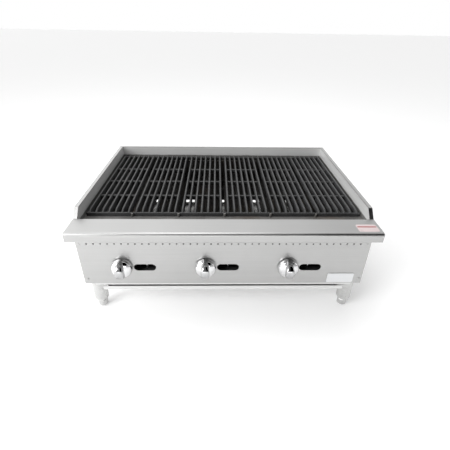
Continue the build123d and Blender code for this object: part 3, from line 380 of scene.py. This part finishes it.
@dataclass(frozen=True)
class PrintedVinyl:
    """Plain printed label stock with a faint fibre tone and light scuffs."""

    ink: Colour = (0.8, 0.8, 0.79)
    scuffed: Colour = (0.7, 0.7, 0.69)

    def make(self, name: str) -> bpy.types.Material:
        """Return the finished material."""
        recipe = Recipe(name)
        fibre = recipe.noise((700.0, 700.0, 700.0), 3.0)
        scuff = recipe.noise((60.0, 60.0, 60.0), 4.0).band(0.55, 0.75)
        recipe.set(
            Base_Color=recipe.blend(scuff * 0.7 + fibre * 0.3, self.ink, self.scuffed),
            Roughness=scuff * 0.15 + fibre * 0.1 + 0.35,
        )
        recipe.bump(fibre, 0.00003, 0.3)
        return recipe.material


# ------------------------------------------------------------------ surface tools
class Shell:
    """Collects grids of points into one closed mesh."""

    def __init__(self) -> None:
        """Start with no points and no faces."""
        self.points: list[Points] = []
        self.faces: list[list[int]] = []
        self.count = 0

    def tube(self, rings: Points) -> None:
        """Add a tube through rings of points, with both ends closed by a flat face.

        Args:
            rings: array of shape (rings, points per ring, 3).
        """
        rows, columns = rings.shape[:2]
        index = np.arange(rows * columns).reshape(rows, columns) + self.count
        beside = np.roll(index, -1, axis=1)
        quads = np.stack([index[:-1], beside[:-1], beside[1:], index[1:]], axis=-1).reshape(-1, 4)
        self.faces += quads.tolist()
        self.faces += [index[0, ::-1].tolist(), index[-1].tolist()]
        self.points.append(rings.reshape(-1, 3))
        self.count += rows * columns

    def sheet(self, grid: Points) -> None:
        """Add an open sheet of points, which a Solidify modifier thickens later."""
        rows, columns = grid.shape[:2]
        index = np.arange(rows * columns).reshape(rows, columns) + self.count
        quads = np.stack([index[:-1, :-1], index[:-1, 1:], index[1:, 1:], index[1:, :-1]], axis=-1)
        self.faces += quads.reshape(-1, 4).tolist()
        self.points.append(grid.reshape(-1, 3))
        self.count += rows * columns

    def finish(self, name: str, smooth_angle: float = 40.0) -> bpy.types.Object:
        """Make the object.

        Args:
            name: the piece's name.
            smooth_angle: edges sharper than this many degrees stay crisp.

        Returns:
            The new object, at the origin, with its faces pointing outwards.
        """
        mesh = bpy.data.meshes.new(name)
        mesh.from_pydata(np.concatenate(self.points).tolist(), [], self.faces)
        mesh.update()
        piece = bpy.data.objects.new(name, mesh)
        bpy.context.scene.collection.objects.link(piece)
        bpy.context.view_layer.objects.active = piece
        piece.select_set(True)
        bpy.ops.object.mode_set(mode="EDIT")
        bpy.ops.mesh.select_all(action="SELECT")
        bpy.ops.mesh.normals_make_consistent(inside=False)
        bpy.ops.object.mode_set(mode="OBJECT")
        mesh.shade_smooth()
        mesh.set_sharp_from_angle(angle=math.radians(smooth_angle))
        piece.select_set(False)
        return piece


def squared_circle(count: int, power: float) -> tuple[Points, Points]:
    """Return x and y of a rounded square.

    Args:
        count: how many points go round it.
        power: 2 is a circle, and more is squarer.

    Returns:
        Two arrays from -1 to 1: the signed power 2 / power of cosine and sine.
    """
    turn = np.linspace(0, 2 * np.pi, count, endpoint=False) + np.pi / count
    cosine, sine = np.cos(turn), np.sin(turn)
    return (
        np.sign(cosine) * np.abs(cosine) ** (2 / power),
        np.sign(sine) * np.abs(sine) ** (2 / power),
    )


@dataclass(frozen=True)
class Casting:
    """A cast bar of tapered, soft-edged section that lies along X or Y."""

    along: int
    centre: float
    start: float
    end: float
    base_half: float
    top_half: float
    seat: float
    height: Callable[[Points], Points]
    round_ends: bool = False
    stations: int = 26

    def rings(self) -> Points:
        """Work out the bar's rings of points.

        Each ring is a rounded square. Its width goes from the base's to the top's in proportion to
        height, and its height follows the bar's own height along its length. A round end narrows
        each ring as the ordinate of a circle whose radius is half the base.

        Returns:
            Array of shape (stations, points per ring, 3).
        """
        edge = self.base_half
        middle = np.linspace(self.start + edge, self.end - edge, self.stations)
        swing = np.linspace(0, np.pi / 2, 6)
        rounding = edge * (1 - np.cos(swing[:-1]))
        travel = np.concatenate([self.start + rounding, middle, self.end - rounding[::-1]])
        narrow = np.ones_like(travel)
        if self.round_ends:
            reach = np.minimum(travel - self.start, self.end - travel).clip(0, edge)
            narrow = np.sqrt(np.maximum(1 - (1 - reach / edge) ** 2, 0.02))
        across, up = squared_circle(28, 5.0)
        level = (up + 1) / 2
        half = self.base_half + (self.top_half - self.base_half) * level
        side = self.centre + narrow[:, None] * (across * half)[None, :]
        rise = self.seat + self.height(travel)[:, None] * level[None, :]
        length = np.broadcast_to(travel[:, None], side.shape)
        order = (length, side, rise) if self.along == 0 else (side, length, rise)
        return np.stack(order, axis=-1)


# ------------------------------------------------------------------ sub-assemblies
def dress(piece: bpy.types.Object, material: bpy.types.Material, body: str) -> None:
    """Give a new piece its material and its body."""
    piece.data.materials.clear()
    piece.data.materials.append(material)
    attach(piece, body)
    log.info("piece %s rides on %s", piece.name, body)


@dataclass
class CookingGrates:
    """The cast cooking grates: tapered bars with sloping noses, cross ribs and eared end bars."""

    count: int = 6
    bars: int = 7
    bar_pitch: float = 20.6 * MM
    bar_top: float = 5.5 * MM
    bar_base: float = 11.0 * MM
    nose_drop: float = 7.0 * MM
    nose_run: float = 15.0 * MM
    end_bar: float = 8.0 * MM
    rib_half: float = 5.0 * MM
    rib_drop: float = 4.0 * MM
    rib_pitch: float = 119.3 * MM
    ribs: int = 3
    bar_inset: float = 1 * MM
    ear_rise: float = 0.4 * MM
    ear_taper: float = 0.8 * MM
    rib_taper: float = 1.2 * MM
    rib_lift: float = 0.5 * MM
    # How far below the grate tops the painted highlight and wear colour begins, and over what
    # height it fades in.
    wear_and_highlight_depth: float = 0.9 * MM
    wear_and_highlight_rise: float = 0.8 * MM
    finish: CastIron = field(default_factory=CastIron)

    def bar_height(self, front: float, full: float) -> Callable[[Points], Points]:
        """Return a bar's height along its length: full, less a straight slope down at the nose."""
        def height(travel: Points) -> Points:
            """Return the height at each place along the bar."""
            into = ((travel - front) / self.nose_run).clip(0, 1)
            return full - self.nose_drop * (1 - into)
        return height

    def make(self) -> None:
        """Build every grate over its CAD node."""
        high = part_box("cooking_grate_1")[1]
        material = replace(
            self.finish, wear_and_highlight_above=high[2] - self.wear_and_highlight_depth, wear_and_highlight_rise=self.wear_and_highlight_rise
        ).make("seasoned_cast_iron")
        for number in range(1, self.count + 1):
            node = f"cooking_grate_{number}"
            piece = self.grate(node)
            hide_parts(node)
            dress(piece, material, f"grate_{number}_body")

    def grate(self, node: str) -> bpy.types.Object:
        """Build one grate in the place of a CAD node."""
        low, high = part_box(node)
        centre = (low[0] + high[0]) / 2
        seat, full = low[2], high[2] - low[2]
        span = (self.bars - 1) * self.bar_pitch
        front = low[1] + self.bar_inset
        shell = Shell()
        for x in centre + np.linspace(-span / 2, span / 2, self.bars):
            shell.tube(
                Casting(
                    1, float(x), front, high[1] - self.bar_inset, self.bar_base / 2,
                    self.bar_top / 2, seat, self.bar_height(front, full), stations=40,
                ).rings()
            )
        ends = (
            (low[1] + self.end_bar / 2, full - self.nose_drop + self.ear_rise),
            (high[1] - self.end_bar / 2, full - self.rib_drop),
        )
        for y, height in ends:
            shell.tube(
                Casting(
                    0, y, low[0], high[0], self.end_bar / 2,
                    self.end_bar / 2 - self.ear_taper, seat,
                    lambda travel, height=height: np.full_like(travel, height),
                    round_ends=True,
                ).rings()
            )
        rib_height = full - self.rib_drop - self.rib_lift
        for rib in range(1, self.ribs + 1):
            y = low[1] + self.end_bar / 2 + rib * self.rib_pitch
            shell.tube(
                Casting(
                    0, y, centre - span / 2, centre + span / 2, self.rib_half,
                    self.rib_half - self.rib_taper, seat + self.rib_lift,
                    lambda travel: np.full_like(travel, rib_height),
                ).rings()
            )
        return shell.finish(f"cast_grate_{node[-1]}")


@dataclass
class Knobs:
    """Control knobs: a domed skirt in polished chrome and a waisted upright grip in satin."""

    count: int = 3
    skirt_radius: float = 34.0 * MM
    skirt_depth: float = 8.0 * MM
    dome_depth: float = 25.0 * MM
    grip_half_width: float = 14.5 * MM
    grip_half_length: float = 33.5 * MM
    grip_base: float = 3.0 * MM
    grip_depth: float = 45.0 * MM
    arch_power: float = 0.95
    crown_start: float = 0.86
    crown_lift: float = 3.0 * MM
    closing: float = 0.05
    crown_round: float = 0.97
    foot_flare: float = 1.5 * MM
    flare_fall: float = 7
    waist: float = 2.0 * MM
    waist_place: float = 1.3
    arch_end: float = 0.985
    smooth_angle: float = 50.0
    finish: Chrome = field(default_factory=Chrome)
    grip_finish: Chrome = field(
        default_factory=lambda: Chrome((0.46, 0.46, 0.465), (0.36, 0.36, 0.365), 0.13)
    )

    def skirt(self, centre: Vector, back: float) -> Points:
        """Work out the skirt: rings whose radius and depth follow a rim and an elliptical dome."""
        rim = np.array([0.02, 0.9, 0.975, 1.0, 1.0, 0.992])
        rim_depth = np.array([0.0, 0.0, 0.03, 0.12, 0.86, 1.0]) * self.skirt_depth
        swing = np.linspace(0.08, 1, 30) * np.pi / 2
        dome = 0.992 * np.cos(swing) ** 0.9
        dome[-1] = 0.01
        dome_depth = self.skirt_depth + (self.dome_depth - self.skirt_depth) * np.sin(swing)
        radius = np.concatenate([rim, dome]) * self.skirt_radius
        depth = np.concatenate([rim_depth, dome_depth])
        turn = np.linspace(0, 2 * np.pi, 96, endpoint=False)
        return np.stack(
            [
                centre[0] + radius[:, None] * np.cos(turn)[None, :],
                np.broadcast_to((back - depth)[:, None], (len(radius), len(turn))),
                centre[2] + radius[:, None] * np.sin(turn)[None, :],
            ],
            axis=-1,
        )

    def grip(self, centre: Vector, back: float) -> Points:
        """Work out the grip: rounded rectangles stacked along its depth.

        Seen from the side the grip is an arch: a ring's half length is close to an ellipse's
        ordinate, from the full length at the panel to a closed tip at the crown, and its middle
        rises evenly on the way. Its half width draws in by a half sine between base and crown,
        flares where it meets the dome, and rounds off at the crown.
        """
        swing = np.linspace(0.0, self.arch_end, 46) * np.pi / 2
        rise = np.sin(swing)
        depth = self.grip_base + (self.grip_depth - self.grip_base) * rise
        flare = self.foot_flare * np.exp(-rise * self.flare_fall)
        pinch = self.waist * np.sin(np.pi * rise ** self.waist_place)
        crown = ((rise - self.crown_start) / (1 - self.crown_start)).clip(0, 1)
        rounding = np.sqrt(1 - self.crown_round * crown ** 2)
        half_x = (self.grip_half_width - pinch + flare) * rounding
        half_z = self.grip_half_length * np.cos(swing) ** self.arch_power + flare
        depth = np.append(depth, depth[-1])
        half_x = np.append(half_x, half_x[-1] * self.closing)
        half_z = np.append(half_z, half_z[-1] * self.closing)
        lift = self.crown_lift * (depth - self.grip_base) / (self.grip_depth - self.grip_base)
        across, up = squared_circle(80, 3.0)
        return np.stack(
            [
                centre[0] + half_x[:, None] * across[None, :],
                np.broadcast_to((back - depth)[:, None], (len(depth), len(across))),
                centre[2] + lift[:, None] + half_z[:, None] * up[None, :],
            ],
            axis=-1,
        )

    def make(self) -> None:
        """Build the knobs over their CAD nodes."""
        material = self.finish.make("polished_chrome")
        satin = self.grip_finish.make("satin_grip")
        for number in range(1, self.count + 1):
            node = f"knob_{number}"
            low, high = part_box(node)
            centre = (Vector(low) + Vector(high)) / 2
            skirt = Shell()
            skirt.tube(self.skirt(centre, high[1]))
            piece = skirt.finish(f"chrome_knob_{number}", self.smooth_angle)
            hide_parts(node)
            dress(piece, material, f"knob_{number}_body")
            grip = Shell()
            grip.tube(self.grip(centre, high[1]))
            piece = grip.finish(f"knob_grip_{number}", self.smooth_angle)
            dress(piece, satin, f"knob_{number}_body")


@dataclass
class RearLouvres:
    """Pressed hoods over the slots in the rear panel."""

    columns: int = 5
    rows: int = 3
    slot_length: float = 96.0 * MM
    row_pitch: float = 22.0 * MM
    stand_out: float = 5.5 * MM
    height: float = 11.0 * MM
    sheet: float = 1.0 * MM
    height_share: float = 0.62
    share_above: float = 0.62
    sunk: float = 0.3 * MM
    panel_bottom: float = 128.0 * MM
    body_height: float = 232.0 * MM

    def hood(self, x: float, z: float, face: float) -> Points:
        """Work out one hood: out from the panel as a quarter sine, dying away at its ends."""
        along = np.linspace(-1, 1, 25)
        drop = np.linspace(0, 1, 9)
        shape = (len(drop), len(along))
        taper = np.sqrt(1 - along ** 6)
        return np.stack(
            [
                np.broadcast_to(x + along[None, :] * self.slot_length / 2, shape),
                face + self.stand_out * taper[None, :] * np.sin(drop * np.pi / 2)[:, None],
                np.broadcast_to((z + self.height * (self.share_above - drop))[:, None], shape),
            ],
            axis=-1,
        )

    def make(self, material: bpy.types.Material) -> None:
        """Build all hoods as one pressed piece on the rear panel."""
        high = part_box("rear_panel")[1]
        pitch = (CAD_BOX[1][0] - CAD_BOX[0][0]) / (self.columns + 1)
        middle = self.panel_bottom + self.height_share * self.body_height
        shell = Shell()
        for column in range(self.columns):
            for row in range(self.rows):
                x = (column - (self.columns - 1) / 2) * pitch
                z = middle + (row - (self.rows - 1) / 2) * self.row_pitch
                shell.sheet(self.hood(x, z, high[1] - self.sunk))
        piece = shell.finish("rear_louvre_hoods")
        wall = piece.modifiers.new("wall", "SOLIDIFY")
        wall.thickness, wall.offset = self.sheet, 0.0
        dress(piece, material, BODY)


@dataclass
class LedgeLabel:
    """A blank white label with a plain red band, stuck on the right end of the ledge."""

    low: tuple[float, float] = (388.0 * MM, -337.0 * MM)
    high: tuple[float, float] = (449.0 * MM, -297.0 * MM)
    thick: float = 0.25 * MM
    band_place: float = 0.66
    band_half: float = 2.6 * MM
    band_margin: float = 2 * MM
    label_lift: float = 0.02 * MM
    band_lift: float = 0.2 * MM

    def patch(self, low: tuple[float, float], high: tuple[float, float], bottom: float) -> Points:
        """Work out a thin pad: rounded rectangles from its underside to a softened top edge."""
        across, along = squared_circle(48, 9.0)
        middle = [(a + b) / 2 for a, b in zip(low, high)]
        half = [(b - a) / 2 for a, b in zip(low, high)]
        inset = np.array([0.0, 0.0, 0.25, 0.6]) * MM * 0.5
        level = bottom + np.array([0.0, 0.7, 0.93, 1.0]) * self.thick
        return np.stack(
            [
                middle[0] + (half[0] - inset)[:, None] * across[None, :],
                middle[1] + (half[1] - inset)[:, None] * along[None, :],
                np.broadcast_to(level[:, None], (4, len(across))),
            ],
            axis=-1,
        )

    def make(self) -> None:
        """Stick the label and its band on the ledge."""
        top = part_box("front_ledge")[1][2]
        white = PrintedVinyl((0.60, 0.50, 0.50), (0.52, 0.44, 0.44)).make("label_white")
        red = PrintedVinyl((0.30, 0.03, 0.03), (0.24, 0.05, 0.045)).make("label_red")
        middle = self.low[1] + self.band_place * (self.high[1] - self.low[1])
        for name, low, high, lift, material in (
            ("ledge_label", self.low, self.high, self.label_lift, white),
            ("ledge_label_band", (self.low[0] + self.band_margin, middle - self.band_half),
             (self.high[0] - self.band_margin, middle + self.band_half), self.band_lift, red),
        ):
            shell = Shell()
            shell.tube(self.patch(low, high, top + lift))
            dress(shell.finish(name), material, BODY)


class SheetMetal:
    """Finishes for the carried-over CAD nodes."""

    def __init__(self) -> None:
        """Make each finish once."""
        grate_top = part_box("cooking_grate_1")[1][2]
        self.wide = BrushedSheet().make("brushed_along_width")
        self.deep = BrushedSheet(grain=Grain.ALONG_DEPTH).make("brushed_along_depth")
        # The liner is the same brushed stainless as the walls, with lighter colours and less
        # metallic: a painted sheen in its colour stands in for the bright overhead reflection that
        # the brushing spreads up the walls.
        liner = {
            "dark": (0.64, 0.64, 0.635),
            "light": (0.78, 0.78, 0.775),
            "roughness": 0.34,
            "metallic": 0.45,
            # The liner turns near black below a line just under the grate tops.
            "dark_below": grate_top - 3 * MM,
            "dark_fade": 5 * MM,
        }
        self.liner_sheen_wide = BrushedSheet(**liner).make("liner_sheen_width")
        self.liner_sheen_deep = BrushedSheet(grain=Grain.ALONG_DEPTH, **liner).make("liner_sheen_depth")
        self.heated = HeatedSteel().make("firebox_steel")
        self.rail = HeatedSteel((0.22, 0.215, 0.21), (0.10, 0.097, 0.093)).make("rail_steel")
        self.tray = BrushedSheet(
            Grain.ALONG_WIDTH, (0.60, 0.60, 0.595), (0.74, 0.74, 0.735), 0.38, metallic=0.6
        ).make("tray_steel")
        self.plated = TurnedMetal().make("plated_steel")
        self.leg = TurnedMetal(
            (0.50, 0.50, 0.495), (0.64, 0.64, 0.635), 1.0, 0.16, 700.0
        ).make("satin_leg")
        self.brass = TurnedMetal(
            (0.42, 0.28, 0.10), (0.68, 0.49, 0.20), 1.0, 0.3
        ).make("machined_brass")
        self.pipe = TurnedMetal(
            (0.02, 0.02, 0.02), (0.05, 0.05, 0.05), 0.4, 0.45
        ).make("black_pipe")
        self.tube = TurnedMetal(
            (0.6, 0.6, 0.61), (0.78, 0.78, 0.79), 1.0, 0.25
        ).make("drawn_aluminium")
        self.radiant = HeatedSteel((0.07, 0.066, 0.062), (0.022, 0.021, 0.02)).make("radiant_steel")
        self.burner = CastIron().make("burner_cast_iron")
        self.screw = BrushedSheet(roughness=0.55, metallic=0.6).make("satin_screws")
        self.badge = BrushedSheet(
            Grain.ALONG_WIDTH, (0.60, 0.61, 0.62), (0.74, 0.75, 0.76), 0.22
        ).make("badge_satin")

    def material_for(self, node: str) -> bpy.types.Material:
        """Return the finish for a CAD node by its name."""
        exact = {
            "rear_panel": self.wide, "front_ledge": self.wide, "control_panel": self.wide,
            "left_side_panel": self.deep, "right_side_panel": self.deep,
            "splash_liner_left": self.liner_sheen_deep, "splash_liner_right": self.liner_sheen_deep,
            "splash_liner_rear": self.liner_sheen_wide, "front_grate_rail": self.rail,
            "badge_plate": self.badge, "panel_screws": self.screw,
            "drip_tray": self.tray, "pilot_tubes": self.tube,
            "pilot_burners": self.brass, "gas_manifold": self.pipe, "supply_pipe": self.pipe,
            "pipe_fittings": self.pipe, "base_frame": self.tray, "tray_runners": self.tray,
        }
        families = (
            ("leg_", self.leg), ("foot_", self.leg), ("radiant_", self.radiant),
            ("burner_", self.burner), ("gas_valve_", self.brass), ("valve_stem_", self.plated),
            ("knob_bezels", self.plated), ("air_shutters", self.plated),
            ("cooking_grate_", self.burner), ("knob_", self.plated),
        )
        if node in exact:
            return exact[node]
        return next((finish for start, finish in families if node.startswith(start)), self.heated)

    def make(self) -> None:
        """Dress every CAD node."""
        for node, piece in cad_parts.items():
            finish = self.material_for(node)
            piece.data.materials.clear()
            piece.data.materials.append(finish)
            log.info("node %s wears %s", node, finish.name)


# ------------------------------------------------------------------ studio
@dataclass
class Studio:
    """Pale floor, a soft dome of light, four soft boxes, and the camera."""

    lens: float = 26.84
    place: tuple[float, float, float] = (-26.2 * MM, -1144.8 * MM, 876.7 * MM)
    pitch: float = 31.47
    yaw: float = -1.72
    roll: float = 1.01
    dome: float = 1.25
    dome_lean: float = 0.85
    dark_heading: tuple[float, float, float] = (0.0, -0.60, 0.80)
    dark_spread: tuple[float, float] = (0.45, 0.88)
    dark_depth: float = 1.05
    floor_reach: float = 30.0
    floor_glow: float = 0.14

    def camera(self) -> None:
        """Place the camera by its yaw, its downward pitch and its roll, in degrees."""
        yaw, pitch, roll = map(math.radians, (self.yaw, self.pitch, self.roll))
        forward = Vector(
            (-math.sin(yaw) * math.cos(pitch), math.cos(yaw) * math.cos(pitch), -math.sin(pitch))
        )
        right = Vector((math.cos(yaw), math.sin(yaw), 0))
        up = right.cross(forward)
        rolled_right = math.cos(roll) * right + math.sin(roll) * up
        rolled_up = -math.sin(roll) * right + math.cos(roll) * up
        data = bpy.data.cameras.new("camera")
        data.sensor_width, data.lens = 36.0, self.lens
        holder = bpy.data.objects.new("camera", data)
        turn = Matrix((rolled_right, rolled_up, -forward)).transposed()
        holder.matrix_world = Matrix.Translation(Vector(self.place)) @ turn.to_4x4()
        bpy.context.scene.collection.objects.link(holder)
        bpy.context.scene.camera = holder

    def floor(self) -> None:
        """Lay a flat sheet whose rows and columns are closer together near the object."""
        spread = np.linspace(-1, 1, 9)
        reach = self.floor_reach * spread ** 3
        x, y = np.meshgrid(reach, reach)
        shell = Shell()
        shell.sheet(np.stack([x, y, np.zeros_like(x)], axis=-1))
        ground = shell.finish("studio_floor", 60.0)
        recipe = Recipe("pale_floor")
        tone = recipe.noise((1.5, 1.5, 1.5), 2.0)
        shade = recipe.blend(tone, (0.93, 0.93, 0.93), (0.95, 0.95, 0.95))
        recipe.set(Base_Color=shade, Roughness=0.9)
        recipe.set(Emission_Color=(1, 1, 1, 1), Emission_Strength=self.floor_glow)
        ground.data.materials.append(recipe.material)

    def light(
        self, name: str, place: Colour, aim: Colour, size: tuple[float, float], power: float
    ) -> None:
        """Hang one rectangular soft light that faces a point."""
        data = bpy.data.lights.new(name, "AREA")
        data.shape, data.size, data.size_y, data.energy = "RECTANGLE", size[0], size[1], power
        holder = bpy.data.objects.new(name, data)
        holder.location = place
        holder.rotation_euler = (Vector(aim) - Vector(place)).to_track_quat("-Z", "Y").to_euler()
        bpy.context.scene.collection.objects.link(holder)

    def world(self) -> None:
        """Surround the set with a soft dome, dark in front overhead and paler to the left."""
        world = bpy.data.worlds.new("studio_dome")
        bpy.context.scene.world = world
        graph = Graph(world)
        heading = graph.node("ShaderNodeTexCoord").outputs["Generated"]
        across = Value(graph, graph.node("ShaderNodeSeparateXYZ", None, {0: heading}).outputs[0])
        ahead = graph.node(
            "ShaderNodeVectorMath", {"operation": "DOT_PRODUCT"}, {0: heading, 1: self.dark_heading}
        )
        shade = Value(graph, ahead.outputs["Value"]).band(*self.dark_spread)
        strength = self.dome - across * self.dome_lean - shade * self.dark_depth
        seen = graph.node("ShaderNodeLightPath").outputs["Is Camera Ray"]
        dome = graph.node("ShaderNodeBackground", None, {"Strength": strength})
        white = graph.node("ShaderNodeBackground", None, {"Color": (1, 1, 1, 1), "Strength": 1.0})
        dome.inputs["Color"].default_value = (1, 1, 1, 1)
        pick = graph.node(
            "ShaderNodeMixShader", None, {0: seen, 1: dome.outputs[0], 2: white.outputs[0]}
        )
        graph.node("ShaderNodeOutputWorld", None, {0: pick.outputs[0]})

    def make(self) -> None:
        """Set up the whole studio."""
        self.camera()
        self.floor()
        self.world()
        self.light("key_left", (-2.1, -1.7, 1.7), (-0.5, -0.7, 0.0), (1.6, 1.6), 55)
        self.light("fill_right", (2.6, -0.3, 1.1), (0, 0, 0.3), (0.9, 1.4), 5)
        self.light("overhead", (-0.4, 0.2, 3.2), (0, 0.0, 0.2), (2.4, 1.6), 30)
        self.light("front_low", (0, -2.9, 0.45), (0, 0, 0.08), (2.6, 0.5), 9)
        bpy.context.scene.view_settings.view_transform = "Standard"


def main() -> None:
    """Build the studio, the finishes and the finer pieces, in that order."""
    logging.basicConfig(level=logging.INFO, format="%(message)s")
    Studio().make()
    metal = SheetMetal()
    metal.make()
    CookingGrates().make()
    Knobs().make()
    RearLouvres().make(metal.wide)
    LedgeLabel().make()


if __name__ == "__main__":
    main()
